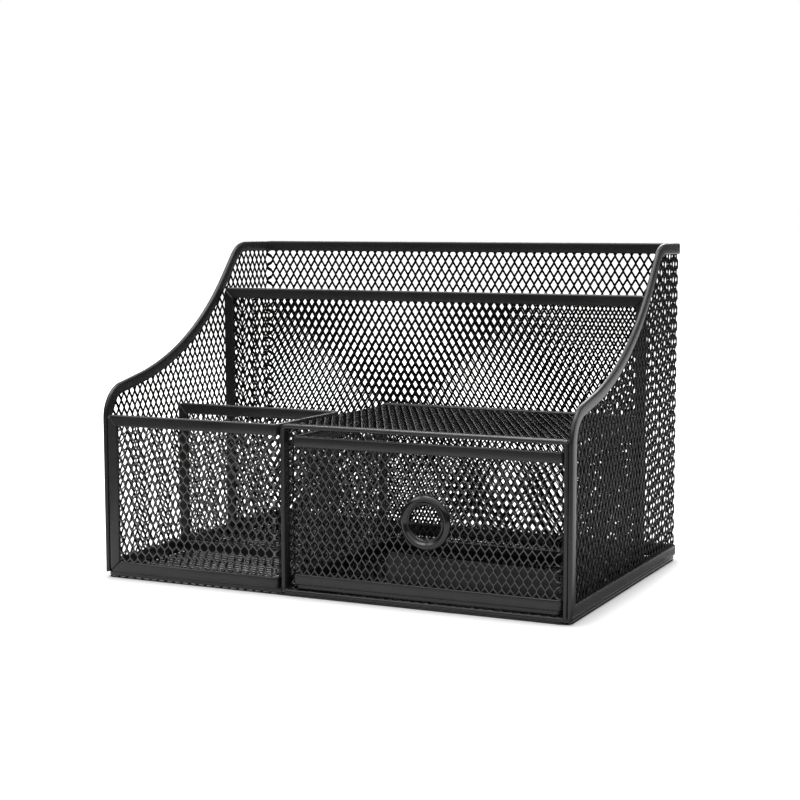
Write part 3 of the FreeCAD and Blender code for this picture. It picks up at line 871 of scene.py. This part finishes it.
def painted_reflection_walls(right_rear):
    """The round wall for the painted reflections: its right rear quarter, or all the
    rest.
    """
    bm = bmesh.new()
    bmesh.ops.create_circle(bm, segments=64, radius=WALL_RADIUS)
    grown = bmesh.ops.extrude_edge_only(bm, edges=bm.edges[:])
    bmesh.ops.translate(bm, vec=(0, 0, WALL_HEIGHT), verts=new_verts(grown))

    def in_quarter(face):
        spot = face.calc_center_median()
        return spot.x > 0 and spot.y > 0
    drop_faces(bm, [f for f in bm.faces if in_quarter(f) != right_rear])
    return bm


def painted_dark_reflections():
    """Painted reflections: dark walls all round and dark ground, which only the paint's
    gloss shows, with a lighter right rear quarter.
    """
    painted_reflection_card("painted_reflection_walls", painted_reflection_walls(False), WALL_SHADE)
    painted_reflection_card("painted_reflection_wall_at_right", painted_reflection_walls(True), RIGHT_WALL_SHADE)
    ground = join(*[plate(*area) for area in DARK_GROUND])
    bmesh.ops.translate(ground, vec=(0, 0, DARK_GROUND_Z), verts=ground.verts)
    painted_reflection_card("painted_reflection_dark_ground", ground, GROUND_SHADE)


def soft_box(name, where, size, power):
    lamp = bpy.data.lights.new(name, "AREA")
    lamp.shape, lamp.size, lamp.size_y = "RECTANGLE", size[0], size[1]
    lamp.energy = power
    box = bpy.data.objects.new(name, lamp)
    box.location = where
    away = Vector(where) - Vector(LAMP_AIM)
    box.rotation_euler = away.to_track_quat("Z", "Y").to_euler()
    box.visible_camera = False
    bpy.context.scene.collection.objects.link(box)


def studio():
    """A white room for the eye and the gloss, dimmer for all other light."""
    sweep_floor()
    painted_dark_reflections()
    world = bpy.data.worlds.new("studio")
    bpy.context.scene.world = world
    world.use_nodes = True
    tree = world.node_tree
    plain = tree.nodes["Background"]
    plain.inputs["Color"].default_value = (1, 1, 1, 1)
    path = add(tree, "ShaderNodeLightPath")
    seen = add(tree, "ShaderNodeMath", operation="MAXIMUM")
    shown = add(tree, "ShaderNodeMath", operation="MAXIMUM")
    level = add(tree, "ShaderNodeMapRange")
    level.inputs["To Min"].default_value = 0.4
    level.inputs["To Max"].default_value = 1.0
    for source, target in (
            (path.outputs["Is Camera Ray"], seen.inputs[0]),
            (path.outputs["Is Glossy Ray"], seen.inputs[1]),
            (seen.outputs[0], shown.inputs[0]),
            (path.outputs["Is Transmission Ray"], shown.inputs[1]),
            (shown.outputs[0], level.inputs["Value"]),
            (level.outputs["Result"], plain.inputs["Strength"])):
        tree.links.new(source, target)
    for lamp in LAMPS:
        soft_box(*lamp)


def camera():
    lens = bpy.data.cameras.new("camera")
    lens.sensor_width, lens.lens, lens.shift_x = EYE_SENSOR, EYE_LENS, EYE_SHIFT
    lens.clip_start, lens.clip_end = 0.01, 30.0
    eye = bpy.data.objects.new("camera", lens)
    turn = (Matrix.Rotation(math.radians(EYE_TURN), 4, "Z")
            @ Matrix.Rotation(math.radians(90 - EYE_DROP), 4, "X")
            @ Matrix.Rotation(math.radians(EYE_ROLL), 4, "Z"))
    eye.matrix_world = Matrix.Translation(EYE) @ turn
    bpy.context.scene.collection.objects.link(eye)
    bpy.context.scene.camera = eye


wrap()
floors()
partition()
pot()
sleeve()
drawer_walls()
finger_ring()
front_plate()
studio()
camera()
bpy.context.scene.view_settings.view_transform = "Standard"
